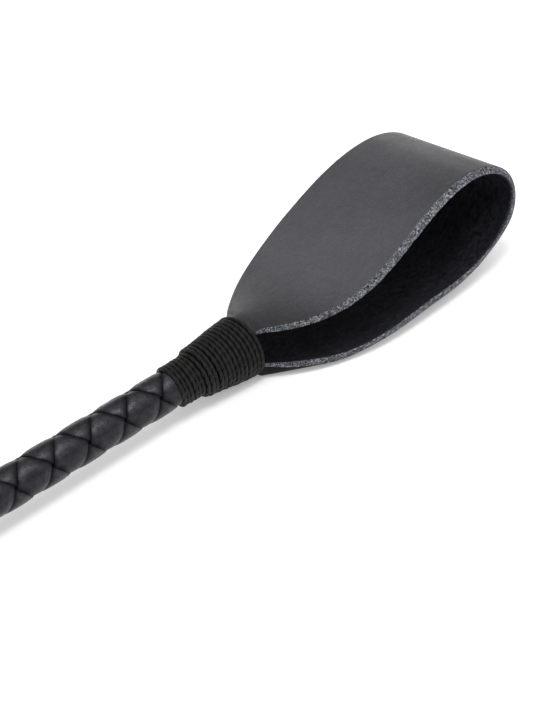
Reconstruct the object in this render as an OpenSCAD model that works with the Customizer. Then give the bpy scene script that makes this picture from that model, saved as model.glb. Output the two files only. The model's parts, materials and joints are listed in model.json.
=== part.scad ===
// Riding crop, lying at rest: braided shaft, whipped leather tongue, leather grip and wrist loop.
// +X runs from the butt to the tongue, +Z is up, and the origin is under the middle of the crop.

/* [Shaft] */
// Length from the butt cap's end face to the mouth of the tip whipping
crop_len = 430; // [380:5:560]
// Radius over the braid at the tip
shaft_tip_r = 5; // [5:0.1:5.6]
// Growth of the braid's radius from the tip to the grip
shaft_taper = 0.9; // [0.4:0.1:1.2]
// Length of one full turn of a strand
braid_pitch = 22.4; // [20:0.2:30]
// Turn of the whole braid about the shaft, in degrees
braid_turn = -25.2; // [-45:0.2:45]
// Thickness of a leather strand
strand_t = 0.8; // [0.6:0.1:0.9]
// Radius of the glass-fibre rod at its tip end
rod_tip_r = 1.6; // [1.4:0.1:1.7]
// Radius of the glass-fibre rod inside the grip
rod_butt_r = 2.6; // [2:0.1:3]

/* [Tongue] */
// Thickness of the tongue's leather
leather_t = 2; // [1.5:0.1:2.2]
// Distance from the mouth to the fold's nose
nose_x = 77.4; // [72:0.2:84]
// Height of the fold's nose above the shaft's axis
nose_z = 10.8; // [9:0.2:12]
// Distance from the mouth to the highest point of the upper layer
crown_x = 64; // [60:0.5:66]
// Height of the upper layer's highest point above the shaft's axis
crown_z = 19.8; // [17:0.2:22]
// Depth of the lower layer below the shaft's axis where it rests
belly_z = 8.2; // [8:0.1:8.2]
// Half width of the tongue where it leaves the whipping
throat_w = 5.8; // [5:0.1:7]
// Half width of the tongue at its widest
wide_w = 23.3; // [20:0.1:26]
// Half width of the tongue at the fold
fold_w = 20.7; // [18:0.1:24]
// Radius about the flexing line where the free tongue starts
flex_r = 10.5; // [10.4:0.1:11]

/* [Whippings] */
// Turns of cord round the tip
tip_turns = 18; // [17:1:19]
// Distance between neighbouring turns
cord_pitch = 1.2; // [1.1:0.05:1.25]
// Radius of the waxed cord
cord_r = 0.6; // [0.55:0.01:0.6]
// How far the cord's centre stands off what it binds
cord_rise = 0.35; // [0.2:0.05:0.4]
// Turns at the butt end of the grip
butt_turns = 10; // [6:1:12]
// Turns at the tip end of the grip
top_turns = 22; // [20:1:23]

/* [Grip] */
// Radius of the leather grip
grip_r = 10.2; // [9.8:0.1:10.4]
// Thickness of the grip's leather
cover_t = 1.6; // [1.2:0.1:1.8]
// Distance from the butt to the end of the straight grip
grip_end = 158; // [140:1:170]
// Distance from the butt to the tip end of the tapered grip
neck_end = 176; // [174:1:180]
// Radius of the butt cap
cap_r = 12.5; // [12.5:0.1:14]
// Length of the butt cap
cap_len = 14; // [14:0.5:16]
// Chamfer round the cap's edge next to the grip
cap_chamfer = 0.5; // [0.4:0.1:1]
// Length of one seam stitch
stitch_len = 3; // [2:0.5:3.5]

/* [Wrist loop] */
// Width of the wrist strap
strap_w = 12; // [8:1:12]
// Thickness of the wrist strap
strap_t = 2; // [1.6:0.1:2]
// Reach of the loop behind its swinging line
loop_reach = 160; // [130:5:180]
// Radius of the loop's round end
loop_r = 25; // [20:1:30]
// Length over which the two legs lie together
loop_neck = 16; // [15:1:20]

/* [Hidden] */
$fn = 96;
FIT = 0.03;
BODY_GAP = 0.3;

braid_start = neck_end + 0.5;
braid_end = crop_len - 6;
binding_end = crop_len - 1;
rod_start = 36;
whip_len = tip_turns * cord_pitch;
tail_len = 17;
tail_bore_r = shaft_tip_r + 0.2;
tail_thin_r = tail_bore_r + 0.6;
tail_mouth_r = tail_bore_r + leather_t + 0.6;
tail_lip = 1;

// The crop rests on its butt cap and on the belly of its tongue, so its axis falls a little.
mouth_z = belly_z + leather_t / 2;
tilt = asin((cap_r - mouth_z) / (crop_len - cap_len));
butt_z = cap_r + cap_len * sin(tilt);
strap_out = 3;
tip_out = nose_x + leather_t / 2;
full_len = strap_out + loop_reach + crop_len * cos(tilt) + tip_out;
butt_x = strap_out + loop_reach - full_len / 2;
mouth_x = butt_x + crop_len * cos(tilt);

// Strand build: each strand rides over one neighbour and under the next. Its facets cut across the
// round by facet_fall, so what lies inside the braid stays inside them.
over_rise = 1;
strand_half = 0.36;
strand_step = 0.25;
strand_build = 2 * over_rise + strand_t;
facet_fall = cos(45 * (strand_half + strand_step));

former_r = grip_r - cover_t;
former_nose_r = shaft_tip_r + shaft_taper - cover_t + 0.6;

cap_dome = 3;
slot_d = 10;
slot_gap = 0.2;
pin_r = 1.2;
pin_s = 6;
screw_r = 1.25;

// The strap swings about a knuckle, and its legs keep clear of the corners of the tails.
knuckle_r = strap_t + 0.1;
swing_r = norm([strap_t, strap_t]) + BODY_GAP;

// Radius over the braid at a distance from the butt
function braid_r(s) = shaft_tip_r + shaft_taper * (braid_end - s) / (braid_end - braid_start);
// Radius of the rod at a distance from the butt
function rod_r(s) = rod_butt_r + (rod_tip_r - rod_butt_r) * (s - rod_start) / (binding_end - rod_start);
function underlay_r(s) = (braid_r(s) - strand_build) * facet_fall - FIT;

// Point at t on a cubic curve with four control points
function cubic(p, t) =
    pow(1 - t, 3) * p[0] + 3 * pow(1 - t, 2) * t * p[1] + 3 * (1 - t) * t * t * p[2] + pow(t, 3) * p[3];
function curve(p, n) = [for (i = [0:n - 1]) cubic(p, i / n)];

// Side view of the folded strip's middle, from the upper layer round the fold to the lower one
SIDE_UPPER = [[0, 5], [25, 2.1], [44, crown_z], [crown_x, crown_z]];
SIDE_CROWN = [[crown_x, crown_z], [crown_x + 6.5, crown_z], [nose_x, crown_z - 3.3], [nose_x, nose_z]];
SIDE_NOSE = [[nose_x, nose_z], [nose_x, 1.5], [65, -6.3], [46, -6.1]];
SIDE_LOWER = [[46, -6.1], [36, -6.3], [26, -belly_z], [17, -belly_z]];
SIDE = concat(
    curve(SIDE_UPPER, 14), curve(SIDE_CROWN, 10), curve(SIDE_NOSE, 12), curve(SIDE_LOWER, 6),
    [[17, -belly_z], [0, -belly_z]]
);
SIDE_LAST = len(SIDE) - 1;

// Half outline of the strip seen from above
OUTLINE_FLARE = [[0, throat_w], [9, 17.5], [20, wide_w], [36, wide_w]];
OUTLINE_BLADE = [[36, wide_w], [50, wide_w], [64, fold_w], [tip_out + 1, fold_w]];
OUTLINE = concat(curve(OUTLINE_FLARE, 10), curve(OUTLINE_BLADE, 8), [[tip_out + 1, fold_w]]);

function unit(v) = v / norm(v);
function side_dir(i) = unit(SIDE[min(i + 1, SIDE_LAST)] - SIDE[max(i - 1, 0)]);
function side_off(i, d) = SIDE[i] + d * [-side_dir(i)[1], side_dir(i)[0]];

// Moves what is built along +Z onto the crop's axis, with -X turned upwards
module on_axis(s = 0) {
    translate([butt_x, 0, butt_z]) rotate([0, 90 + tilt, 0]) translate([0, 0, s]) children();
}

// Places what is built about the middle of the whipping's mouth
module at_mouth() {
    translate([mouth_x, 0, mouth_z]) children();
}

// Turns of cord laid side by side, on a shape given by its radius at distances along the axis
module whipping(turns, bed) {
    bulge = [for (i = [0:turns - 1], a = [180:-45:1])
        let (z = (i + 0.5 + cos(a) / 2) * cord_pitch)
            [lookup((i + 0.5) * cord_pitch, bed) + cord_rise + cord_r * sin(a), z]];
    rotate_extrude() polygon(concat(
        [for (i = [len(bed) - 1:-1:0]) [bed[i][1], bed[i][0]]],
        bulge,
        [[lookup(turns * cord_pitch, bed) + cord_rise, turns * cord_pitch]]
    ));
}

// The folded strip of leather, cut to its outline
module strip() {
    intersection() {
        rotate([90, 0, 0]) linear_extrude(4 * wide_w, center = true) polygon(concat(
            [for (i = [0:SIDE_LAST]) side_off(i, leather_t / 2)],
            [for (i = [SIDE_LAST:-1:0]) side_off(i, -leather_t / 2)]
        ));
        linear_extrude(4 * wide_w, center = true) polygon(concat(
            OUTLINE, [for (i = [len(OUTLINE) - 1:-1:0]) [OUTLINE[i][0], -OUTLINE[i][1]]]
        ));
    }
}

// One strand of the round braid. side is 1 for right-handed strands and -1 for left-handed ones.
// Along and across are counted in strand spacings, so strands cross where both are whole numbers.
function flat_wave(a) = max(-1, min(1, 1.5 * cos(180 * a)));
function strand_point(side, first, across, along, out) =
    let (
        a = first + across,
        s = braid_pitch / 4 * (a + along),
        turn = side * 90 * (along - a),
        lift = side * cos(180 * first) * flat_wave(along) * over_rise,
        r = braid_r(braid_start + s) - over_rise - strand_t / 2 + lift + out * strand_t / 2
    )
    [r * cos(turn), r * sin(turn), s];

module strand(side, first) {
    rings = floor((4 * (braid_end - braid_start) / braid_pitch - 2 * strand_half - 0.2) / strand_step);
    start = strand_half + 0.1 - first;
    ring_start = ceil(start / strand_step) * strand_step;
    section = [[-1, 1], [0, 1], [1, 1], [1, -1], [0, -1], [-1, -1]];
    sides = len(section);
    pts = [
        for (k = [0:rings - 1], c = section)
            strand_point(side, first, c[0] * strand_half, ring_start + k * strand_step, c[1])
    ];
    wall = [
        for (k = [0:rings - 2], c = [0:sides - 1])
            let (a = k * sides + c, b = k * sides + (c + 1) % sides)
            each [[a, a + sides, b + sides], [a, b + sides, b]]
    ];
    last = (rings - 1) * sides;
    caps = concat(
        [for (c = [1:sides - 2]) [0, c, c + 1]],
        [for (c = [1:sides - 2]) [last, last + c + 1, last + c]]
    );
    faces = concat(wall, caps);
    flipped = [for (f = faces) [f[2], f[1], f[0]]];
    on_axis(braid_start) rotate(braid_turn) polyhedron(pts, side > 0 ? faces : flipped);
}

module core_rod() {
    color("#d8d2b8") on_axis(rod_start)
        cylinder(h = binding_end - rod_start, r1 = rod_butt_r, r2 = rod_tip_r);
}

// Soft padding that fills the space between the rod and the braid
module shaft_underlay() {
    len_ = braid_end - braid_start;
    color("#4a4038") on_axis(braid_start) difference() {
        cylinder(h = len_, r1 = underlay_r(braid_start), r2 = underlay_r(braid_end));
        translate([0, 0, -1]) cylinder(
            h = len_ + 2, r1 = rod_r(braid_start - 1) + FIT, r2 = rod_r(braid_end + 1) + FIT
        );
    }
}

module strand_1() { color("#1b1a1e") strand(1, 0); }
module strand_2() { color("#1b1a1e") strand(1, 1); }
module strand_3() { color("#222126") strand(-1, 0); }
module strand_4() { color("#222126") strand(-1, 1); }

// Thread that holds the strands' ends to the rod under the tongue's tails
module strand_end_binding() {
    start = braid_end + 0.2;
    color("#3a3328") on_axis(start) difference() {
        cylinder(h = binding_end - start, r = shaft_tip_r - 0.1);
        translate([0, 0, -1]) cylinder(
            h = binding_end - start + 2, r1 = rod_r(start - 1) + FIT, r2 = rod_r(binding_end + 1) + FIT
        );
    }
}

module tip_whipping() {
    bare_len = whip_len - tail_len - 0.2;
    color("#15140f") on_axis(crop_len - whip_len) whipping(tip_turns, [
        [0, shaft_tip_r + 0.1],
        [bare_len, shaft_tip_r + 0.1],
        [bare_len + 0.1, tail_thin_r + FIT],
        [whip_len, tail_mouth_r + FIT]
    ]);
}

// The strip's two ends, hugging the shaft under the whipping and just outside its mouth
module tongue_tails() {
    side_gap = 3;
    color("#2e3136") {
        on_axis(crop_len - tail_len) difference() {
            cylinder(h = tail_len + tail_lip, r1 = tail_thin_r, r2 = tail_mouth_r);
            translate([0, 0, -1]) cylinder(h = tail_len + tail_lip + 2, r = tail_bore_r);
            translate([0, 0, tail_len / 2])
                cube([side_gap, 4 * tail_mouth_r, 2 * tail_len], center = true);
        }
        at_mouth() intersection() {
            strip();
            rotate([90, 0, 0]) cylinder(h = 4 * wide_w, r = flex_r - BODY_GAP, center = true);
            translate([0.3, -wide_w, -wide_w]) cube(2 * wide_w);
        }
    }
}

// The free loop of the folded strip
module tongue() {
    color("#33363c") at_mouth() difference() {
        strip();
        rotate([90, 0, 0]) cylinder(h = 4 * wide_w, r = flex_r, center = true);
    }
}

// Turned body that builds the grip up to a hand's size
module grip_former() {
    color("#6b4a2e") on_axis() difference() {
        union() {
            translate([0, 0, cap_len]) cylinder(h = grip_end - cap_len, r = former_r);
            translate([0, 0, grip_end])
                cylinder(h = neck_end - grip_end, r1 = former_r, r2 = former_nose_r);
        }
        translate([0, 0, rod_start]) cylinder(
            h = neck_end + 1 - rod_start, r1 = rod_butt_r + FIT, r2 = rod_r(neck_end + 1) + FIT
        );
        translate([0, 0, cap_len - 1]) cylinder(h = rod_start - cap_len - 1, r = screw_r + FIT);
    }
}

module grip_cover() {
    color("#1f2023") on_axis() difference() {
        union() {
            translate([0, 0, cap_len + FIT]) cylinder(h = grip_end - cap_len - FIT, r = grip_r);
            translate([0, 0, grip_end])
                cylinder(h = neck_end - grip_end, r1 = grip_r, r2 = former_nose_r + cover_t);
        }
        translate([0, 0, cap_len - 1]) cylinder(h = grip_end - cap_len + 1.001, r = former_r + FIT);
        translate([0, 0, grip_end])
            cylinder(h = neck_end - grip_end, r1 = former_r + FIT, r2 = former_nose_r + FIT);
        translate([0, 0, neck_end - 0.01]) cylinder(h = 1, r = former_nose_r + FIT);
    }
}

// Hand stitches along the seam of the grip's leather
module grip_stitches() {
    first = cap_len + 17;
    gap = 1.5;
    pitch = stitch_len + gap;
    count = floor((grip_end - 8 - first) / pitch);
    color("#101012") on_axis() for (i = [0:count - 1])
        translate([0, grip_r - 0.1, first + i * pitch]) cylinder(h = stitch_len, r = 0.4, $fn = 16);
}

module grip_top_whipping() {
    start = grip_end - 2 * cord_pitch;
    top_len = top_turns * cord_pitch;
    shaft_r = max(former_nose_r + cover_t, braid_r(braid_start) + 0.05) + FIT;
    color("#15140f") on_axis(start) whipping(top_turns, [
        [0, grip_r + FIT],
        [grip_end - start, grip_r + FIT],
        [neck_end - start, shaft_r],
        [top_len, shaft_r]
    ]);
}

module grip_butt_whipping() {
    butt_len = butt_turns * cord_pitch;
    color("#15140f") on_axis(cap_len + 1)
        whipping(butt_turns, [[0, grip_r + FIT], [butt_len, grip_r + FIT]]);
}

// Moulded cap with a slot across its end for the wrist strap
module butt_cap() {
    wall_end = cap_len - cap_chamfer;
    color("#232326") on_axis() difference() {
        rotate_extrude() polygon([
            [0, 0], [cap_r - cap_dome, 0], [cap_r, cap_dome],
            [cap_r, wall_end], [cap_r - cap_chamfer, cap_len], [0, cap_len]
        ]);
        translate([0, 0, slot_d / 2 - 1])
            cube([strap_w + 2 * slot_gap, 2 * (strap_t + slot_gap), slot_d + 2], center = true);
        translate([0, 0, pin_s]) rotate([90, 0, 0])
            cylinder(h = 3 * cap_r, r = pin_r + FIT, center = true);
        translate([0, 0, slot_d - 1]) cylinder(h = cap_len, r = screw_r + FIT);
    }
}

module cap_screw() {
    head_h = 1.2;
    color("#8a8c90") on_axis(slot_d) {
        cylinder(h = rod_start - slot_d - 3, r = screw_r);
        translate([0, 0, -head_h]) cylinder(h = head_h + 0.01, r = 1.8);
    }
}

// Cross pin through the cap and both ends of the strap
module strap_pin() {
    color("#8a8c90") on_axis(pin_s) rotate([90, 0, 0])
        cylinder(h = 2 * cap_r - 1.6, r = pin_r, center = true);
}

// The strap's two ends inside the cap, out to the line where the loop swings
module wrist_strap_tails() {
    inside = slot_d - 2;
    color("#1b1b1e") difference() {
        union() {
            on_axis() translate([0, 0, (inside - strap_out) / 2])
                cube([strap_w, 2 * strap_t, inside + strap_out], center = true);
            translate([butt_x - strap_out, 0, butt_z])
                cylinder(h = strap_w, r = knuckle_r, center = true);
        }
        on_axis(pin_s) rotate([90, 0, 0]) cylinder(h = 3 * strap_t, r = pin_r + FIT, center = true);
    }
}

// Outline of a loop: straight legs that meet at the neck, and a round end that they touch
function loop_outline(end_r, neck_half) =
    let (
        centre = loop_reach - loop_r,
        run = centre - loop_neck,
        lean = asin(end_r / norm([run, neck_half])) - atan2(neck_half, run),
        sweep = 90 + lean
    )
    concat(
        [[-loop_neck, neck_half]],
        [for (i = [0:32]) let (a = sweep * (1 - i / 16)) [-centre - end_r * cos(a), end_r * sin(a)]],
        [[-loop_neck, -neck_half]]
    );

// The free loop of the wrist strap, on edge, sloping down until its end rests
module wrist_strap() {
    droop = asin((butt_z - strap_w / 2 - 0.1) / loop_reach);
    color("#1b1b1e") translate([butt_x - strap_out, 0, butt_z]) difference() {
        rotate([0, -droop, 0]) translate([0, 0, -strap_w / 2]) linear_extrude(strap_w) difference() {
            polygon(concat([[0, strap_t]], loop_outline(loop_r, strap_t), [[0, -strap_t]]));
            polygon(loop_outline(loop_r - strap_t, 0.02));
        }
        cylinder(h = 4 * strap_w, r = swing_r, center = true);
    }
}

core_rod();
shaft_underlay();
strand_1();
strand_2();
strand_3();
strand_4();
strand_end_binding();
tip_whipping();
tongue_tails();
tongue();
grip_former();
grip_cover();
grip_stitches();
grip_top_whipping();
grip_butt_whipping();
butt_cap();
cap_screw();
strap_pin();
wrist_strap_tails();
wrist_strap();
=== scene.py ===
import json
import math
import random

import bmesh
import bpy
import numpy as np
from mathutils import Matrix, Vector, noise


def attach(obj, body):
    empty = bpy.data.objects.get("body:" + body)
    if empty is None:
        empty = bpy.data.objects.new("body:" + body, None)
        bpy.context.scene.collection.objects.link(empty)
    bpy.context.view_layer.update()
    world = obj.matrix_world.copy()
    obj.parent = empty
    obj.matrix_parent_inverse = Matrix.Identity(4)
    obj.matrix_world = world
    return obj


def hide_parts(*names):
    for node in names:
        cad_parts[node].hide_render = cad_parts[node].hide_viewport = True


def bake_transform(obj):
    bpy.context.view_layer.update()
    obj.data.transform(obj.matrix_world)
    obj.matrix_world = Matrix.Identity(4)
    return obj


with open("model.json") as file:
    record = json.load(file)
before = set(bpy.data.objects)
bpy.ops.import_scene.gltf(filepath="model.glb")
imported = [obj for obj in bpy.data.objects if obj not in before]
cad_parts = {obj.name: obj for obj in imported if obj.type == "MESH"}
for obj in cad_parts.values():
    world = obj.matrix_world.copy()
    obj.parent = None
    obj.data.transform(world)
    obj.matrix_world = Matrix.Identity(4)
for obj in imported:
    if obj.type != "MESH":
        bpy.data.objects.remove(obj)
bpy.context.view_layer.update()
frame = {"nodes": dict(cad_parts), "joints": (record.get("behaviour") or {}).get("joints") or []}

# Sizes are in millimetres. Along the crop they count from the butt's end face, and on the tongue
# from the mouth of the tip whipping. MM turns them into the frame's metres.
MM = 0.001
TAU = 2 * math.pi
SQUARE = ((-1, -1), (1, -1), (1, 1), (-1, 1))


def joint_place(name):
    """Where a joint's axis is, in metres."""
    return np.array(next(j["pos_m"] for j in frame["joints"] if j["name"] == name), float)


MOUTH = joint_place("tongue_flex")
HINGE = joint_place("strap_swing")
# How far the strap's hinge line is outside the butt's end face
STRAP_OUT = 3
BUTT = HINGE + np.array([STRAP_OUT * MM, 0, 0])
CROP_LEN = np.linalg.norm(MOUTH - BUTT) / MM
AXIS = (MOUTH - BUTT) / np.linalg.norm(MOUTH - BUTT)
ACROSS = np.array([0.0, 1.0, 0.0])
UP = np.cross(AXIS, ACROSS)

# Shaft: radius over the braid at the tip, and how much it grows towards the grip
SHAFT_TIP_R = 5.2
SHAFT_TAPER = 0.9
BRAID_START = 177.4
BRAID_END = CROP_LEN - 6
# One full turn of a strand, the angle that the whole braid is turned by, and the leather's thickness
BRAID_PITCH = 22.4
BRAID_TURN = math.radians(71)
STRAND_T = 0.8
# In strand spacings: half a strand's width, how much it spreads on top, and how far its ends are cut back
STRAND_HALF = 0.49
STRAND_SPREAD = 0.035
STRAND_ENDS = 0.6
STEPS_PER_CELL = 14
POINTS_ACROSS = 13

# Grip and cap
CAP_LEN = 14.0
CAP_R = 12.5
GRIP_R = 10.2
GRIP_END = 158.0
NECK_END = 176.0
NECK_R = 6.5
GRIP_LAP = 0.5
GRIP_WALL = 1.5

# Waxed cord
CORD_R = 0.6
CORD_PITCH = 1.2
PLIES = 3
PLY_TURN = 2.2
CORD_SIDES = 12
POINTS_PER_TURN = 64
# The angle about the shaft that the camera sees
NEAR_SIDE = math.radians(151)
# Radius over the tip whipping's cord at distances from its start: it steps up onto the tails
TIP_SHAPE = [(0, 5.75), (7.6, 6.0), (8.8, 6.85), (24, 8.75)]

# Tongue: its leather, the length of its tails, and the radii that the tails wrap round
STRIP_T = 1.8
TAIL_LEN = 14.0
TAIL_BED = (5.55, 7.5)
# The cut edge slants, so the grain side is narrower than the flesh side by this on each edge.
SLANT = 1.3
BEVEL = 0.22
CUT_BULGE = 0.12
# The free strip lies this much towards the near side.
NEARER = 0.5
# How deep the lower layer hangs below the axis at its middle
BELLY = 8.2
FACE_POINTS = 31
CORNER_POINTS = 4
CUT_POINTS = 6
EDGE_POINTS = CUT_POINTS + 2 * CORNER_POINTS
# Side view of the strip's near edge as distance from the mouth and height above the axis
SIDE = [
    [[0, 5], [25, 2.1], [44, 19.8], [64, 19.8]],
    [[64, 19.8], [70.5, 19.8], [77.4, 16.5], [77.4, 10.8]],
    [[77.4, 10.8], [77.4, 3.0], [67, -4.3], [48, -4.4]],
    [[48, -4.4], [39, -4.0], [29, -6.0], [17, -6.9]],
    [[17, -6.9], [11, -7.0], [5, -5.8], [0, -5.0]],
]
# Half outline of the strip's flesh side as distance from the mouth and half width
OUTLINE = [
    [[1.3, 6.0], [10, 17.5], [21, 24.0], [36, 24.0]],
    [[36, 24.0], [50, 24.0], [64, 21.6], [80, 21.6]],
]

# Wrist strap
STRAP_W = 12.0
STRAP_T = 2.0
STRAP_REACH = 160.0
STRAP_BEVEL = 0.6
STRAP_DOME = 0.12
LOOP_R = 24.0

# Each light's place beyond the mouth in metres, the side of its square and its power
LIGHTS = {
    "key": ((0.32, -0.42, 0.8), 1.5, 7.8),
    "accent": ((0.05, -0.4, 0.8), 0.25, 2.2),
    "back": ((0.5, 0.9, 0.14), 0.5, 0.9),
}
SKY_POWER = 0.5
FLOOR_GLOW = 0.3
FLOOR_HALF = 4.0


# --------------------------------------------------------------------------- helpers


def smooth(x, low, high):
    """From 0 at low to 1 at high, with level ends."""
    t = np.clip((x - low) / (high - low), 0, 1)
    return t * t * (3 - 2 * t)


def along_axis(points):
    """Places in metres of points given as distance from the butt, across and up."""
    p = np.asarray(points, float) * MM
    return BUTT + p[..., :1] * AXIS + p[..., 1:2] * ACROSS + p[..., 2:] * UP


def round_axis(s, radius, angle):
    """Places of points at a radius and an angle about the crop's axis, from across towards up."""
    s, radius, angle = np.broadcast_arrays(s, radius, angle)
    return along_axis(np.stack([s, radius * np.cos(angle), radius * np.sin(angle)], axis=-1))


def bezier(points, count, last=False):
    """Points on a cubic curve through the first and last control points."""
    t = np.linspace(0, 1, count, endpoint=last)[:, None]
    p = np.asarray(points, float)
    return (1 - t) ** 3 * p[0] + 3 * (1 - t) ** 2 * t * p[1] + 3 * (1 - t) * t**2 * p[2] + t**3 * p[3]


def even_spacing(path, count):
    """The same path with points at even distances along it."""
    run = np.concatenate([[0], np.cumsum(np.linalg.norm(np.diff(path, axis=0), axis=1))])
    at = np.linspace(0, run[-1], count)
    return np.stack([np.interp(at, run, path[:, k]) for k in range(path.shape[1])], axis=1)


def softened(path, passes):
    """The path with its corners rounded off and its ends kept."""
    path = path.copy()
    for _ in range(passes):
        path[1:-1] = (path[:-2] + 2 * path[1:-1] + path[2:]) / 4
    return path


def outward_of(path):
    """Unit steps square to a flat path, towards its left."""
    ahead = np.gradient(path, axis=0)
    ahead /= np.linalg.norm(ahead, axis=1)[:, None]
    return np.stack([-ahead[:, 1], ahead[:, 0]], axis=1)


def skin(count, sides, closed=False):
    """Faces that join each ring of points to the next."""
    pairs = [(i, (i + 1) % count) for i in range(count if closed else count - 1)]
    turns = [(j, (j + 1) % sides) for j in range(sides)]
    return [
        (i * sides + j, i * sides + k, n * sides + k, n * sides + j) for i, n in pairs for j, k in turns
    ]


def end_caps(count, sides):
    """The two faces that shut a skin's ends."""
    return [tuple(range(sides))[::-1], tuple(range((count - 1) * sides, count * sides))]


def piece(name, points, faces, materials, slots=None):
    """A smooth-shaded mesh object. slots gives each face's material by its number."""
    mesh = bpy.data.meshes.new(name)
    mesh.from_pydata(np.asarray(points).reshape(-1, 3).tolist(), [], faces)
    for material in materials:
        mesh.materials.append(material)
    if slots is not None:
        mesh.polygons.foreach_set("material_index", slots)
    mesh.polygons.foreach_set("use_smooth", [True] * len(mesh.polygons))
    mesh.update()
    obj = bpy.data.objects.new(name, mesh)
    bpy.context.scene.collection.objects.link(obj)
    return obj


def lofted(name, rings, materials, ring_slots=None, closed=False):
    """A closed skin over rings of points. ring_slots gives the materials' numbers round a ring."""
    rings = np.asarray(rings)
    count, sides = rings.shape[:2]
    faces = skin(count, sides, closed)
    slots = (ring_slots or [0] * sides) * (len(faces) // sides)
    if not closed:
        faces += end_caps(count, sides)
        slots += [slots[0]] * 2
    obj = piece(name, rings, faces, materials, slots)
    fix_normals(obj)
    return obj


def fix_normals(obj):
    """Turns a closed mesh's faces outwards."""
    work = bmesh.new()
    work.from_mesh(obj.data)
    bmesh.ops.recalc_face_normals(work, faces=work.faces)
    work.to_mesh(obj.data)
    work.free()


def carve(obj, cutters):
    """Cuts the cutters out of obj and removes them. Edges over 40 degrees stay sharp."""
    for cutter in cutters:
        modifier = obj.modifiers.new("cut", "BOOLEAN")
        modifier.object = cutter
        modifier.operation = "DIFFERENCE"
        modifier.solver = "EXACT"
    evaluated = obj.evaluated_get(bpy.context.evaluated_depsgraph_get())
    mesh = bpy.data.meshes.new_from_object(evaluated)
    obj.modifiers.clear()
    obj.data = mesh
    mesh.set_sharp_from_angle(angle=math.radians(40))
    for cutter in cutters:
        bpy.data.objects.remove(cutter)


def mark(obj, name, values):
    """Stores a number, or a vector, for each point of the mesh, for the materials to read."""
    values = np.asarray(values, np.float32)
    kind, key = ("FLOAT", "value") if values.ndim == 1 else ("FLOAT_VECTOR", "vector")
    attribute = obj.data.attributes.new(name, kind, "POINT")
    attribute.data.foreach_set(key, values.ravel())


def fit(obj, body=None, stands_for=()):
    """Says what a piece rides on, and hides the CAD nodes that it stands for."""
    if body:
        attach(obj, body)
    if stands_for:
        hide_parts(*stands_for)


def roughen(points, size, depth):
    """Smooth noise at each point, for lumps of that size and depth."""
    flat = np.asarray(points).reshape(-1, 3) / size
    values = [noise.noise(Vector(p)) for p in flat]
    return depth * np.array(values).reshape(np.asarray(points).shape[:-1])


# --------------------------------------------------------------------------- materials


class Graph:
    """The nodes of one material. Texture sizes are in millimetres on the object."""

    def __init__(self, name):
        self.material = bpy.data.materials.new(name)
        self.material.use_nodes = True
        self.tree = self.material.node_tree
        self.tree.nodes.clear()
        self.shader = self.put("BsdfPrincipled")
        out = self.put("OutputMaterial", {"Surface": self.shader.outputs[0]})
        out.is_active_output = True
        self.spot = self.put("TexCoord").outputs["Object"]

    def put(self, kind, inputs=None, **settings):
        node = self.tree.nodes.new("ShaderNode" + kind)
        for name, value in settings.items():
            setattr(node, name, value)
        for name, value in (inputs or {}).items():
            self.join(node.inputs[name], value)
        return node

    def join(self, socket, value):
        if isinstance(value, bpy.types.NodeSocket):
            self.tree.links.new(value, socket)
        else:
            socket.default_value = value

    def noise(self, size, detail=2.0, rough=0.5, spot=None, warp=0.0):
        return self.put("TexNoise", {
            "Vector": spot or self.spot, "Scale": 1 / (size * MM), "Detail": detail,
            "Roughness": rough, "Distortion": warp,
        }).outputs["Fac"]

    def cells(self, size):
        """Distance to the nearest border between cells."""
        inputs = {"Vector": self.spot, "Scale": 1 / (size * MM)}
        return self.put("TexVoronoi", inputs, feature="DISTANCE_TO_EDGE").outputs["Distance"]

    def stretched(self, x, y, z):
        """Coordinates squeezed along each axis, so that what is drawn there comes out longer."""
        return self.put("Mapping", {"Vector": self.spot, "Scale": (x, y, z)}).outputs["Vector"]

    def math(self, operation, a, b=0.0):
        node = self.put("Math", operation=operation)
        for socket, value in zip(node.inputs, (a, b)):
            self.join(socket, value)
        return node.outputs[0]

    def remap(self, value, low, high, to_low=0.0, to_high=1.0):
        return self.put("MapRange", {
            "Value": value, "From Min": low, "From Max": high, "To Min": to_low, "To Max": to_high,
        }).outputs["Result"]

    def blend(self, factor, a, b):
        """Colour a where the factor is 0 and b where it is 1."""
        node = self.put("Mix", data_type="RGBA")
        for socket, value in ((node.inputs[0], factor), (node.inputs[6], a), (node.inputs[7], b)):
            self.join(socket, value)
        return node.outputs[2]

    def times(self, colour, factor):
        scaled = self.put("VectorMath", {0: colour}, operation="SCALE")
        self.join(scaled.inputs["Scale"], factor)
        return scaled.outputs[0]

    def attribute(self, name, output="Fac"):
        return self.put("Attribute", attribute_name=name).outputs[output]

    def bump(self, height, depth):
        inputs = {"Height": height, "Distance": depth * MM, "Strength": 1.0}
        return self.put("Bump", inputs).outputs["Normal"]

    def finish(self, **values):
        """Sets the shader's sockets, named with _ for a space, and gives the material back."""
        for name, value in values.items():
            self.join(self.shader.inputs[name.replace("_", " ")], value)
        return self.material


def grey(value, tint=(1.0, 1.0, 1.0)):
    return (value * tint[0], value * tint[1], value * tint[2], 1.0)


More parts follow.
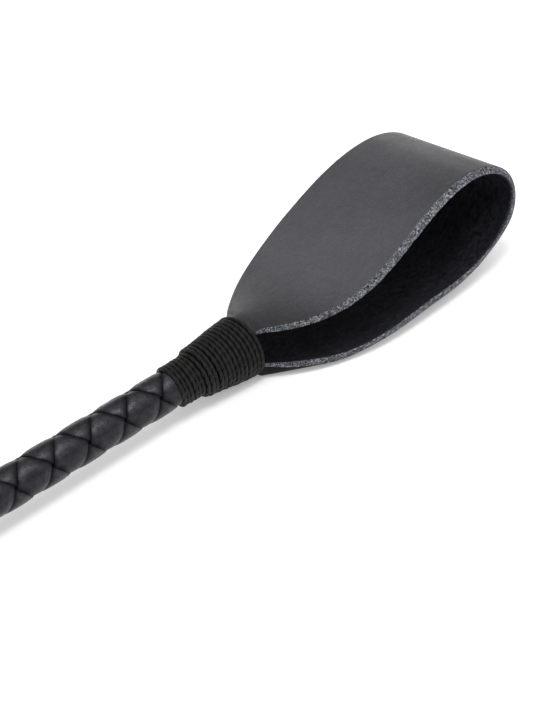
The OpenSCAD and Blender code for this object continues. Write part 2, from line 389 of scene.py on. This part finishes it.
def leather(name, shade, tint, grain, depth, shine, gleam, coat=0.0):
    """Smooth dyed leather: fine pebbled grain, pores, and slow changes of shade and gloss.

    shine is its roughness and gleam how much it reflects. The "dark" attribute marks creases, painted
    in shade, near black and without sheen. A second attribute is painted light and shade: the share by
    which colour and sheen are lighter than usual, or darker where it is below nought.
    """
    g = Graph(name)
    patches = g.noise(14, 3, 0.55)
    fine = g.noise(0.35, 3, 0.65)
    pebbles = g.cells(grain)
    pebble_gaps = g.remap(pebbles, 0.0, 0.12)
    darker = g.blend(pebble_gaps, grey(shade * 0.72, tint), grey(shade, tint))
    colour = g.blend(g.remap(patches, 0.3, 0.7), darker, grey(shade * 1.22, tint))
    colour = g.blend(g.remap(fine, 0.35, 0.75, 0.0, 0.35), colour, grey(shade * 1.5, tint))
    # Painted shade in creases: where the "dark" attribute is set, the colour goes near black and the sheen
    # goes.
    painted_crease_shade = g.attribute("dark")
    # Painted light and shade: one plus this attribute scales the colour and the sheen.
    painted_light_factor = g.math("ADD", 1.0, g.attribute("painted_light_and_shade"))
    colour = g.blend(painted_crease_shade, g.times(colour, painted_light_factor), grey(shade * 0.15, tint))
    sheen = g.math("MULTIPLY", painted_light_factor, g.math("SUBTRACT", 1.0, painted_crease_shade))
    mottle = g.remap(g.noise(1.4, 4, 0.75), 0.32, 0.68, 0.55, 1.25)
    height = g.math("ADD", g.remap(pebbles, 0.0, 0.2), g.math("MULTIPLY", fine, 0.6))
    gloss = g.remap(g.noise(3.5, 3, 0.6), 0.3, 0.7, shine - 0.05, shine + 0.07)
    return g.finish(
        Base_Color=colour, Roughness=gloss, Normal=g.bump(height, depth),
        Specular_IOR_Level=g.math("MULTIPLY", g.math("MULTIPLY", sheen, mottle), gleam),
        Specular_Tint=grey(1.0, tint), Coat_Weight=coat, Coat_Roughness=0.3,
    )


def suede(name):
    """The tongue's flesh side: near-black nap, mottled where it lies over, with pale hairs at its rim.

    The "rim" attribute marks where the hairs are.
    """
    deep, lit = (0.0014, 0.0014, 0.0021, 1), (0.026, 0.0255, 0.031, 1)
    shaded, bare_hair = (0.004, 0.004, 0.0055, 1), (0.22, 0.23, 0.26, 1)
    g = Graph(name)
    nap = g.noise(0.3, 4, 0.75)
    lie = g.noise(1.6, 4, 0.65, warp=0.6)
    broad = g.noise(9, 2)
    colour = g.blend(g.remap(lie, 0.35, 0.68), deep, lit)
    colour = g.blend(g.remap(broad, 0.35, 0.7, 0.0, 0.6), colour, shaded)
    hairs = g.remap(g.noise(0.55, 4, 0.8, warp=1.5), 0.45, 0.62)
    hairs = g.math("MULTIPLY", hairs, g.attribute("rim"))
    colour = g.blend(hairs, colour, bare_hair)
    height = g.math("ADD", nap, g.math("MULTIPLY", lie, 1.5))
    return g.finish(
        Base_Color=colour, Roughness=0.95, Normal=g.bump(height, 0.25),
        Specular_IOR_Level=0.05, Sheen_Weight=0.03, Sheen_Roughness=0.6,
        Sheen_Tint=(0.62, 0.66, 0.85, 1),
    )


def cut_edge(name):
    """The strip's cut edge: fibres of raw hide, some of them bare and pale, some dyed dark."""
    dyed, half_dyed = (0.012, 0.013, 0.016, 1), (0.09, 0.096, 0.112, 1)
    bare, pit = (0.5, 0.52, 0.56, 1), (0.006, 0.006, 0.009, 1)
    g = Graph(name)
    specks = g.noise(0.42, 4, 0.8, warp=1.2)
    clumps = g.noise(1.3, 3, 0.6)
    colour = g.blend(g.remap(clumps, 0.35, 0.65), dyed, half_dyed)
    colour = g.blend(g.remap(specks, 0.52, 0.62), colour, bare)
    colour = g.blend(g.remap(specks, 0.47, 0.38), colour, pit)
    return g.finish(
        Base_Color=colour, Roughness=0.9, Normal=g.bump(specks, 0.3), Specular_IOR_Level=0.2
    )


def waxed_cord(name):
    """Twisted cord, waxed: three plies that show as slanting ridges with painted shade in their grooves,
    and dull and glossy spots.

    The "ply" attribute gives where each point is round the cord and along it.
    """
    dull, glossy = (0.002, 0.002, 0.0019, 1), (0.0075, 0.0075, 0.007, 1)
    groove, dry_fibre = (0.003, 0.003, 0.003, 1), (0.022, 0.0215, 0.019, 1)
    g = Graph(name)
    ply = g.put("SeparateXYZ", {0: g.attribute("ply", "Vector")})
    turn = g.math("MULTIPLY", ply.outputs[2], TAU / (PLY_TURN * MM))
    ridge = g.math(
        "ADD",
        g.math("MULTIPLY", ply.outputs[0], g.math("COSINE", turn)),
        g.math("MULTIPLY", ply.outputs[1], g.math("SINE", turn)),
    )
    fibre = g.noise(0.18, 3, 0.7)
    wax = g.noise(2.5, 3, 0.6)
    colour = g.blend(g.remap(wax, 0.35, 0.7), dull, glossy)
    # Painted shade in the grooves between the plies.
    colour = g.blend(g.remap(ridge, -1, -0.2, 0.6, 0.0), colour, groove)
    colour = g.blend(g.remap(fibre, 0.5, 0.75, 0.0, 0.6), colour, dry_fibre)
    height = g.math("ADD", g.math("MULTIPLY", ridge, 0.45), g.math("MULTIPLY", fibre, 0.7))
    return g.finish(
        Base_Color=colour, Roughness=g.remap(wax, 0.3, 0.7, 0.62, 0.45),
        Normal=g.bump(height, 0.2), Specular_IOR_Level=0.22,
    )


def thread(name):
    """Dark spun thread, its fibres drawn out along the crop."""
    g = Graph(name)
    fibre = g.noise(0.15, 3, 0.7, spot=g.stretched(0.3, 1, 1))
    colour = g.blend(fibre, (0.012, 0.011, 0.011, 1), (0.05, 0.048, 0.045, 1))
    return g.finish(
        Base_Color=colour, Roughness=g.remap(fibre, 0.3, 0.7, 0.8, 0.6), Normal=g.bump(fibre, 0.08)
    )


def moulded_plastic(name):
    """Fine spark-eroded texture, with a faint sheen."""
    g = Graph(name)
    texture = g.noise(0.12, 2, 0.6)
    shade = g.noise(8, 2)
    colour = g.blend(shade, (0.008, 0.008, 0.009, 1), (0.014, 0.014, 0.015, 1))
    return g.finish(
        Base_Color=colour, Roughness=g.remap(texture, 0.3, 0.7, 0.42, 0.52),
        Normal=g.bump(texture, 0.02), Specular_IOR_Level=0.3,
    )


def brushed_steel(name):
    """Drawn steel with fine lines across the crop."""
    g = Graph(name)
    lines = g.noise(0.1, 3, 0.6, spot=g.stretched(1, 0.04, 1))
    colour = g.blend(lines, (0.42, 0.42, 0.43, 1), (0.62, 0.62, 0.63, 1))
    return g.finish(
        Base_Color=colour, Metallic=1.0, Roughness=g.remap(lines, 0.3, 0.7, 0.28, 0.42),
        Normal=g.bump(lines, 0.01),
    )


def glass_fibre(name):
    """Pultruded rod with its fibres along the crop."""
    g = Graph(name)
    fibres = g.noise(0.2, 3, 0.6, spot=g.stretched(0.02, 1, 1))
    colour = g.blend(fibres, (0.5, 0.44, 0.28, 1), (0.74, 0.7, 0.52, 1))
    return g.finish(
        Base_Color=colour, Roughness=g.remap(fibres, 0.3, 0.7, 0.32, 0.5), Normal=g.bump(fibres, 0.02)
    )


def felt(name):
    """Dark padding with loose fluff."""
    g = Graph(name)
    fluff = g.noise(0.3, 4, 0.8)
    colour = g.blend(fluff, (0.05, 0.042, 0.038, 1), (0.14, 0.12, 0.1, 1))
    return g.finish(Base_Color=colour, Roughness=0.95, Normal=g.bump(fluff, 0.15))


def turned_wood(name):
    """Beech with its grain along the crop."""
    g = Graph(name)
    rings = g.noise(0.9, 3, 0.6, spot=g.stretched(0.06, 1, 1))
    colour = g.blend(rings, (0.27, 0.15, 0.07, 1), (0.5, 0.33, 0.18, 1))
    return g.finish(
        Base_Color=colour, Roughness=g.remap(rings, 0.3, 0.7, 0.5, 0.65), Normal=g.bump(rings, 0.03)
    )


def white_floor(name):
    """Plain pale floor that glows a little, which keeps the shadows light."""
    g = Graph(name)
    tone = g.noise(400, 1)
    colour = g.blend(tone, (0.93, 0.93, 0.93, 1), (0.95, 0.95, 0.95, 1))
    return g.finish(
        Base_Color=colour, Roughness=0.9, Specular_IOR_Level=0.0,
        Emission_Color=colour, Emission_Strength=FLOOR_GLOW,
    )


GRAIN = leather("tongue_grain", 0.045, (0.98, 0.965, 1.1), 0.55, 0.09, 0.5, 0.38, coat=0.3)
FLESH = suede("tongue_flesh")
CUT = cut_edge("tongue_cut_edge")
BRAID = leather("braid_leather", 0.008, (1.0, 0.97, 1.14), 0.7, 0.02, 0.27, 0.27)
GRIP = leather("grip_leather", 0.012, (1.0, 1.0, 1.06), 0.9, 0.07, 0.4, 0.26)
STRAP = leather("strap_leather", 0.011, (1.0, 0.99, 1.05), 0.8, 0.04, 0.38, 0.26)
CORD = waxed_cord("waxed_cord")
THREAD = thread("thread")
PLASTIC = moulded_plastic("cap_plastic")
STEEL = brushed_steel("steel")
CAD_FINISHES = {
    "core_rod": glass_fibre("glass_fibre"),
    "shaft_underlay": felt("padding"),
    "strand_end_binding": THREAD,
    "grip_former": turned_wood("former_wood"),
    "cap_screw": STEEL,
    "strap_pin": STEEL,
}


def finish_cad_nodes():
    for name, material in CAD_FINISHES.items():
        data = frame["nodes"][name].data
        data.materials.clear()
        data.materials.append(material)


# --------------------------------------------------------------------------- shaft


def braid_radius(s):
    return SHAFT_TIP_R + SHAFT_TAPER * (BRAID_END - s) / (BRAID_END - BRAID_START)


def both_faces(values):
    """One value for each point of a strand's rings, whose under side runs back the other way."""
    return np.concatenate([values, values[:, ::-1]], axis=1).ravel()


def make_strand(name, side, first):
    """One strand of the round braid, over one crossing and under the next.

    Along and across are counted in strand spacings, so strands cross where both are whole numbers.
    side is 1 for a right-handed strand and -1 for a left-handed one. away is 0 at a crossing that
    the strand is over and 1 at one that it is under, and edge is 1 at the strand's edges.
    """
    cell = BRAID_PITCH / 4
    cells = (BRAID_END - BRAID_START) / cell
    along = np.arange(STRAND_ENDS - first, cells - first - STRAND_ENDS, 1 / STEPS_PER_CELL)[:, None]
    over_at = first if side > 0 else first + 1
    away = np.abs((along - over_at + 1) % 2 - 1)
    half = STRAND_HALF + STRAND_SPREAD * (1 - smooth(away, 0, 0.5))
    fan = np.sin(np.linspace(-math.pi / 2, math.pi / 2, POINTS_ACROSS))[None, :]
    edge = np.abs(fan)
    across = first + fan * half
    s = BRAID_START + cell * (across + along)
    angle = BRAID_TURN + side * math.pi / 2 * (along - across)
    dive = STRAND_T * smooth(away, 0.2, 0.86)
    crown = 0.24 * edge**2.6 + 0.14 * smooth(edge, 0.86, 1.0)
    top = braid_radius(s) - crown - dive
    top = top + roughen(round_axis(s, top, angle), 2.2 * MM, 0.05)
    under = top - (STRAND_T - 0.4 * edge**3)
    rings = np.concatenate([round_axis(s, top, angle), round_axis(s, under, angle)[:, ::-1]], axis=1)
    obj = lofted("braid_" + name, rings, [BRAID])
    # Painted shade: near black along the strand's edges and where it goes under the crossing strands, the
    # shade of the braid's creases.
    dark = np.maximum(smooth(edge, 0.8, 0.99), 0.9 * smooth(away, 0.3, 0.56))
    # Painted highlight: the colour and sheen are lighter towards the strand's sides, up to the shaded
    # crease at its edge.
    painted_highlight = np.broadcast_to(0.45 * smooth(edge, 0.4, 0.75), dark.shape)
    mark(obj, "dark", both_faces(dark))
    mark(obj, "painted_light_and_shade", both_faces(painted_highlight))
    fit(obj, "root", [name])


def make_strands():
    for name, side, first in (
        ("strand_1", 1, 0), ("strand_2", 1, 1), ("strand_3", -1, 0), ("strand_4", -1, 1)
    ):
        make_strand(name, side, first)


# --------------------------------------------------------------------------- whippings


def uneven_turns(turn, turns, wander, seed):
    """How far each turn lies ahead, how much it tilts and towards which side, and how far it stands out."""
    draw = random.Random(seed)
    knots = np.arange(turns + 2)
    limits = [(-wander, wander), (-wander, wander), (0, TAU), (-wander / 2, wander / 2)]
    return [np.interp(turn, knots, [draw.uniform(low, high) for _ in knots]) for low, high in limits]


def ply_places(centre, around):
    """Where each point of the cord is in the round of its plies, and its distance along in metres."""
    lengths = np.linalg.norm(np.diff(centre, axis=0), axis=1) * MM
    along = np.concatenate([[0], np.cumsum(lengths)])
    places = np.broadcast_arrays(
        np.cos(PLIES * around)[None, :], np.sin(PLIES * around)[None, :], along[:, None]
    )
    return np.stack(places, axis=-1).reshape(-1, 3)


def wind_cord(name, start, turns, shape, seed, drop=0.0, wander=0.1, slant=(0.0, 0.0)):
    """One cord wound side by side. shape lists the radius over the cord at distances from start.

    drop lowers the far end, wander is how unevenly the turns lie, and slant says how far the near
    side runs ahead at both ends. The cord's ends are tucked in at the underside.
    """
    turn = np.linspace(0, turns, turns * POINTS_PER_TURN)
    drift, tilt, lean, swell = uneven_turns(turn, turns, wander, seed)
    angle = turn * TAU - math.pi / 2
    run = turn * CORD_PITCH * (turns - 1) / turns + CORD_PITCH / 2
    share = run / (turns * CORD_PITCH)
    ahead = np.interp(share, (0, 1), slant) * np.cos(angle - NEAR_SIDE)
    s = start + run + ahead + 0.6 * drift + 0.8 * tilt * np.cos(angle - lean)
    tuck = 1 - smooth(turn, 0, 0.25) + smooth(turn, turns - 0.25, turns)
    radius = np.interp(run, *zip(*shape)) - CORD_R + swell - 0.8 * CORD_R * tuck
    centre = np.stack([s, radius * np.cos(angle), radius * np.sin(angle) - drop * share], axis=1)
    out = np.stack([0 * s, np.cos(angle), np.sin(angle)], axis=1)
    around = np.linspace(0, TAU, CORD_SIDES, endpoint=False)
    rings = (
        centre[:, None, :]
        + CORD_R * np.cos(around)[None, :, None] * np.array([1.0, 0, 0])
        + CORD_R * np.sin(around)[None, :, None] * out[:, None, :]
    )
    obj = lofted(name + "_cord", along_axis(rings), [CORD])
    mark(obj, "ply", ply_places(centre, around))
    fit(obj, "root", [name])


def make_whippings():
    tip_turns, top_turns, butt_turns = 20, 22, 10
    over_grip, over_neck = GRIP_R + 0.9, NECK_R + 0.95
    tip_start = CROP_LEN - tip_turns * CORD_PITCH
    top_start = GRIP_END - 2 * CORD_PITCH
    wind_cord(
        "tip_whipping", tip_start, tip_turns, TIP_SHAPE, seed=3, drop=0.4, wander=0.2, slant=(-0.5, 1.2)
    )
    wind_cord("grip_top_whipping", top_start, top_turns, [
        (0, over_grip), (GRIP_END - top_start, over_grip),
        (NECK_END - top_start, over_neck), (top_turns * CORD_PITCH, over_neck),
    ], seed=5)
    wind_cord("grip_butt_whipping", CAP_LEN + 1, butt_turns, [
        (0, over_grip), (butt_turns * CORD_PITCH, over_grip),
    ], seed=7)


# --------------------------------------------------------------------------- tongue


def strip_path():
    """The folded strip's edge line, from one tail's end round the fold to the other's."""
    upper_tail = np.array([[-TAIL_LEN, 5.0], [-TAIL_LEN / 2, 5.0]])
    lower_tail = np.array([[0, -5.0], [-TAIL_LEN / 2, -5.0], [-TAIL_LEN, -5.0]])
    free = np.concatenate([bezier(c, 60) for c in SIDE])
    return softened(even_spacing(np.concatenate([upper_tail, free, lower_tail]), 360), 6)


def half_width(x):
    """Half the strip's width: its outline where it is free, and narrower along the tails."""
    outline = np.concatenate([bezier(OUTLINE[0], 40), bezier(OUTLINE[1], 40, last=True)])
    tail = OUTLINE[0][0][1] + 0.13 * x
    return np.where(x < 0, tail, np.interp(x, outline[:, 0], outline[:, 1]))


def edge_profile(top, half, thick):
    """The cut edge from the grain side's corner to the flesh side's, as places across and outwards."""
    upper = [
        (top - BEVEL + BEVEL * math.sin(turn), thick / 2 - BEVEL + BEVEL * math.cos(turn))
        for turn in np.linspace(0, 1.2, CORNER_POINTS)
    ]
    lower = [
        (half - BEVEL + BEVEL * math.cos(turn), -thick / 2 + BEVEL - BEVEL * math.sin(turn))
        for turn in np.linspace(0, 1.4, CORNER_POINTS)
    ]
    (y0, z0), (y1, z1) = upper[-1], lower[0]
    middle = [
        (y0 + (y1 - y0) * t + CUT_BULGE * math.sin(math.pi * t), z0 + (z1 - z0) * t)
        for t in np.linspace(0, 1, CUT_POINTS + 2)[1:-1]
    ]
    return upper + middle + lower


def strip_section(half, slant, thick):
    """One ring of the flat strip as places across and outwards, grain side first."""
    top = half - slant
    share = np.sin(np.linspace(-1, 1, FACE_POINTS + 2) * math.pi / 2)[1:-1]
    grain = [((top - BEVEL) * v, thick / 2) for v in share]
    flesh = [((half - BEVEL) * -v, -thick / 2) for v in share]
    far_edge = edge_profile(top, half, thick)
    near_edge = [(-y, out) for y, out in far_edge[::-1]]
    return np.array(grain + far_edge + flesh + near_edge)


def section_slots():
    """The material of each face round a section. The cut edges take in part of the flesh side's corners."""
    grain, cut, flesh = 0, 1, 2
    runs = [
        (grain, FACE_POINTS + CORNER_POINTS - 1), (cut, CUT_POINTS + 3),
        (flesh, FACE_POINTS + CORNER_POINTS), (cut, CUT_POINTS + 2), (grain, CORNER_POINTS),
    ]
    return [slot for slot, count in runs for _ in range(count)]


def section_fuzz():
    """1 for each point of a section that is on its cut edges, and 0 for the others."""
    fuzz = np.zeros(2 * (FACE_POINTS + EDGE_POINTS))
    inset = CORNER_POINTS - 1
    fuzz[FACE_POINTS + inset:FACE_POINTS + EDGE_POINTS] = 1
    fuzz[2 * FACE_POINTS + EDGE_POINTS:-inset] = 1
    return fuzz


def curl(section, half, bend, power, wrap_r, wrap):
    """Bends a flat section: its middle stands off by bend, or hugs a circle where wrap is 1."""
    y, out = section.T
    v = np.abs(y) / half
    round_r = max(wrap_r, 1.12 * half)
    fall = np.sqrt(round_r**2 - y**2)
    lift = (1 - wrap) * bend * (1 - v**power) + wrap * (fall - round_r + wrap_r)
    slope = -(1 - wrap) * bend * power * v ** (power - 1) / half * np.sign(y) - wrap * y / fall
    norm = np.hypot(1, slope)
    return np.stack([y - slope / norm * out, lift + out / norm], axis=1)


def lower_share(path):
    """1 on the lower layer, 0 on the upper one, and between them round the fold."""
    return 1 - smooth(path[:, 1], -3, 4)


def strip_rings(path):
    """The strip's sections: the lower layer cupped, the upper one flat, and the tails round the shaft."""
    x, height = path.T
    upper = np.arange(len(path)) < np.argmax(x)
    half = half_width(x)
    slant = SLANT * smooth(half, 5, 14) * (0.2 + 0.8 * smooth(height, -3, 15))
    slant = slant + 0.95 * lower_share(path) * smooth(x, 8, 26)
    belly = (BELLY - np.abs(height)) * (1 - smooth(x, 42, 72))
    bend = np.where(upper, 1.9 * (1 - smooth(x, 4, 28)), belly)
    power = np.where(upper, 2.0, 6 - 3 * smooth(x, 5, 28))
    wrap = 1 - smooth(x, -1.5, np.where(upper, 2.8, 1.2))
    thick = STRIP_T * (0.35 + 0.65 * smooth(x, -TAIL_LEN, 3))
    bed = np.interp(x, [-TAIL_LEN, 0], TAIL_BED)
    wrap_r = bed - thick / 2 - 0.08 - np.where(upper, 0.4, -0.4) * smooth(x, -22, 0)
    rings = []
    for i, (centre, out) in enumerate(zip(path, outward_of(path))):
        flat = strip_section(half[i], slant[i], thick[i])
        y, lift = curl(flat, half[i], bend[i], power[i], wrap_r[i], wrap[i]).T
        lift = lift - wrap[i] * abs(centre[1])
        rings.append(np.stack([centre[0] + lift * out[0], y, centre[1] + lift * out[1]], axis=1))
    rings = np.array(rings)
    rings[..., 1] -= (NEARER * smooth(x, 4, 30))[:, None]
    return rings


def fray(rings, x):
    """Makes the cut edges uneven, with fine and coarse lumps, where the strip is free."""
    rough = roughen(rings, 0.5, 0.16) + roughen(rings, 1.7, 0.14)
    rings[..., 1] += rough * section_fuzz() * np.sign(rings[..., 1]) * smooth(x, -1, 1)[:, None]


def strip_painted_light_and_shade(rings, x, lower):
    """Painted light and shade, as the share by which the grain is lighter: lightest in the middle, painted
    shade at the throat, underneath, towards the fold and at its near edge.
    """
    reach, across = rings[..., 0], rings[..., 1]
    painted_light_and_shade = 0.72 * smooth(reach, 6, 28) - 0.4 * smooth(reach, 32, 62) - 0.5
    painted_light_and_shade = painted_light_and_shade - 0.2 * smooth(reach, 40, 60) * (1 - smooth(across, -22, -2))
    return painted_light_and_shade - 0.5 * (lower * (1 - smooth(x, 12, 40)))[:, None]


def strip_rim(rings, x, lower):
    """1 within a millimetre of the strip's edges, and less on the lower layer."""
    inside = half_width(x)[:, None] - np.abs(rings[..., 1] + NEARER)
    return (1 - smooth(inside, 0.1, 1.1)) * (1 - 0.6 * lower)[:, None]


def make_tongue():
    """One folded strip, from the tails under the whipping to the fold at the nose."""
    path = strip_path()
    x, lower = path[:, 0], lower_share(path)
    rings = strip_rings(path)
    fray(rings, x)
    obj = lofted("tongue_strip", MOUTH + rings * MM, [GRAIN, CUT, FLESH], section_slots())
    # Painted light and shade on the grain: darker at the throat, underneath and towards the fold, lighter
    # in the middle.
    mark(obj, "painted_light_and_shade", strip_painted_light_and_shade(rings, x, lower).ravel())
    mark(obj, "rim", strip_rim(rings, x, lower).ravel())
    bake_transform(obj)
    fit(obj, None, ["tongue", "tongue_tails"])


# --------------------------------------------------------------------------- grip


def make_grip():
    """Leather sleeve with a lapped seam along one side."""
    lengths = np.concatenate([
        np.linspace(CAP_LEN + 0.03, GRIP_END, 150), np.linspace(GRIP_END, NECK_END, 24)[1:]
    ])
    outer = np.interp(lengths, [CAP_LEN, GRIP_END, NECK_END], [GRIP_R, GRIP_R, NECK_R])
    angle = np.linspace(0, TAU, 144, endpoint=False)
    share = angle / TAU
    below_lap = GRIP_LAP * (1 - smooth(share, 0, 0.008) + share)
    outside = [round_axis(s, r - below_lap * min(1, r / GRIP_R), angle) for s, r in zip(lengths, outer)]
    inside = [round_axis(s, r - GRIP_WALL, angle) for s, r in zip(lengths[::-1], outer[::-1])]
    obj = lofted("grip_sleeve", np.array(outside + inside), [GRIP], closed=True)
    fit(obj, "root", ["grip_cover"])


def make_stitches():
    """A row of stitches beside the seam, each a short bowed roll of thread with thin ends."""
    stitch_len, gap, count_along, sides = 3.0, 1.5, 9, 8
    girth, bow, seat, aside = 0.32, 0.5, GRIP_R - 0.55, 0.9
    first, last = CAP_LEN + 17, GRIP_END - 8
    t = np.linspace(0, 1, count_along)[:, None]
    turn = np.linspace(0, TAU, sides, endpoint=False)
    arch = np.sin(math.pi * t)
    thick = girth * np.sqrt(np.maximum(0.05, arch))
    out, up = seat + bow * arch + thick * np.cos(turn), aside + thick * np.sin(turn)
    one = skin(count_along, sides) + end_caps(count_along, sides)
    points, faces = [], []
    for i in range(int((last - first) // (stitch_len + gap))):
        s = np.broadcast_to(first + i * (stitch_len + gap) + t * stitch_len, out.shape)
        points.append(along_axis(np.stack([s, out, up], axis=-1)))
        faces += [tuple(i * count_along * sides + k for k in face) for face in one]
    obj = piece("seam_stitches", points, faces, [THREAD])
    fix_normals(obj)
    fit(obj, "root", ["grip_stitches"])


# --------------------------------------------------------------------------- cap


def lathe(name, outline, material, sides=128):
    """A solid turned about the crop's axis from distances along it and radii."""
    angle = np.linspace(0, TAU, sides, endpoint=False)
    return lofted(name, [round_axis(s, max(r, 0.01), angle) for s, r in outline], [material])


def cap_outline():
    """The cap's profile from its domed face over the groove to the end that meets the grip."""
    dome, chamfer, lip = 3.0, 0.5, 3.0
    groove_at, groove_bevel, groove_wide, groove_deep = 10.2, 0.3, 0.6, 0.4
    bottom_at = groove_at + groove_bevel
    bottom_end = bottom_at + groove_wide
    face = [(0, r) for r in np.linspace(0, CAP_R - dome, 6)[:-1]]
    corner = [
        (dome * (1 - math.sin(turn)), CAP_R - dome * (1 - math.cos(turn)))
        for turn in np.linspace(math.pi / 2, 0, 14)
    ]
    groove = [
        (groove_at, CAP_R), (bottom_at, CAP_R - groove_deep),
        (bottom_end, CAP_R - groove_deep), (bottom_end + groove_bevel, CAP_R),
    ]
    back = [(CAP_LEN - chamfer, CAP_R), (CAP_LEN, CAP_R - chamfer), (CAP_LEN, CAP_R - lip), (CAP_LEN, 0)]
    return face + corner + groove + back


def slot_cutter():
    """What cuts the slot that the strap's ends go into."""
    half_wide, half_long, outside, deep = 2.2, 6.2, -2.0, 10.0
    corners = [(half_wide * a, half_long * b) for a, b in SQUARE]
    rings = [[along_axis([s, y, z]) for y, z in corners] for s in (outside, deep)]
    return lofted("slot_cutter", rings, [PLASTIC])


def hole_cutter():
    """What cuts the cross pin's hole."""
    hole_at, hole_r = 6, 1.23
    turns = np.linspace(0, TAU, 24, endpoint=False)
    rings = [
        [along_axis([hole_at + hole_r * math.cos(t), y, hole_r * math.sin(t)]) for t in turns]
        for y in (-2 * CAP_R, 2 * CAP_R)
    ]
    return lofted("hole_cutter", rings, [PLASTIC])


def make_cap():
    """Domed cap with a groove, the strap's slot and the cross pin's hole."""
    cap = lathe("end_cap", cap_outline(), PLASTIC)
    carve(cap, [slot_cutter(), hole_cutter()])
    fit(cap, "root", ["butt_cap"])


# --------------------------------------------------------------------------- wrist strap


def strap_path():
    """The folded strap seen from above: out of the cap, round the bow and back in."""
    inside, apart, neck = 11.0, 1.02, 16.0
    far = STRAP_REACH - 1 - LOOP_R
    leg = np.concatenate([
        [[inside, apart], [0.0, apart]],
        bezier([[-neck, apart], [-45, 3], [-105, LOOP_R], [-far, LOOP_R]], 40),
    ])
    turn = np.linspace(0, math.pi, 40)
    bow = np.stack([-far - LOOP_R * np.sin(turn), LOOP_R * np.cos(turn)], axis=1)
    path = np.concatenate([leg, bow, leg[::-1] * [1, -1]])
    return softened(even_spacing(path, 420), 4)


def strap_section():
    """The strap's section as places outwards and up: faintly domed sides and rounded corners."""
    flat_out, flat_up = STRAP_T / 2 - STRAP_BEVEL, STRAP_W / 2 - STRAP_BEVEL
    corner = [
        (flat_out + STRAP_BEVEL * math.cos(turn), flat_up + STRAP_BEVEL * math.sin(turn))
        for turn in np.linspace(0, math.pi / 2, 5)
    ]
    side = [(STRAP_T / 2 + STRAP_DOME * (1 - u * u), u * flat_up) for u in np.linspace(-1, 1, 11)[1:-1]]
    half = side + corner + [(-d, h) for d, h in corner[::-1]]
    return np.array(half + [(-d, -h) for d, h in half])


def make_strap():
    """One strap folded into a loop, with both ends in the cap. It droops to the floor at its bow."""
    path, section = strap_path(), strap_section()
    out_by, up_by = section[:, :1], section[:, 1]
    droop = (HINGE[2] / MM - STRAP_W / 2 - 0.1) / STRAP_REACH
    rings = []
    for centre, out in zip(path, outward_of(path)):
        lean = droop if centre[0] < 0 else 0.0
        x, y = (centre + out_by * out).T
        rings.append(np.stack([x + up_by * lean, y, up_by + x * lean], axis=1))
    obj = lofted("wrist_loop", HINGE + np.array(rings) * MM, [STRAP])
    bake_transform(obj)
    fit(obj, None, ["wrist_strap", "wrist_strap_tails"])


# --------------------------------------------------------------------------- stage


def make_camera():
    """A long lens above and beside the tongue, with the shaft running down to the left."""
    turn, height, roll = math.radians(28.0), math.radians(29.1), math.radians(-17.7)
    away, side, lift = 0.8, 6.1 * MM, -3.0 * MM
    level = Vector((math.cos(turn), -math.sin(turn), 0))
    ahead = Vector((math.sin(turn), math.cos(turn), 0))
    up = Vector((0, 0, 1))
    forward = math.cos(height) * ahead - math.sin(height) * up
    above = math.sin(height) * ahead + math.cos(height) * up
    x_axis = math.cos(roll) * level + math.sin(roll) * above
    y_axis = math.cos(roll) * above - math.sin(roll) * level
    place = Vector(MOUTH) + side * x_axis + lift * y_axis - away * forward
    data = bpy.data.cameras.new("camera")
    data.sensor_width = 36
    data.lens = 160
    camera = bpy.data.objects.new("camera", data)
    bpy.context.scene.collection.objects.link(camera)
    turned = Matrix((x_axis, y_axis, -forward)).transposed()
    camera.matrix_world = Matrix.Translation(place) @ turned.to_4x4()
    bpy.context.scene.camera = camera


def make_light(name, offset, size, power):
    """A square light at that offset from the mouth, aimed at the floor below the mouth."""
    data = bpy.data.lights.new(name, "AREA")
    data.shape = "SQUARE"
    data.size = size
    data.energy = power
    light = bpy.data.objects.new(name, data)
    bpy.context.scene.collection.objects.link(light)
    light.location = Vector((MOUTH[0], 0, 0)) + Vector(offset)
    light.rotation_euler = (-Vector(offset)).to_track_quat("-Z", "Y").to_euler()


def make_stage():
    scene = bpy.context.scene
    scene.view_settings.view_transform = "Standard"
    world = bpy.data.worlds.new("studio")
    world.use_nodes = True
    sky = world.node_tree.nodes["Background"].inputs
    sky["Color"].default_value = (1, 1, 1, 1)
    sky["Strength"].default_value = SKY_POWER
    scene.world = world
    corners = [(x * FLOOR_HALF, y * FLOOR_HALF, 0) for x, y in SQUARE]
    piece("floor", corners, [(0, 1, 2, 3)], [white_floor("floor_white")])
    for name, (offset, size, power) in LIGHTS.items():
        make_light(name, offset, size, power)


make_camera()
make_stage()
finish_cad_nodes()
make_strands()
make_whippings()
make_tongue()
make_grip()
make_stitches()
make_cap()
make_strap()
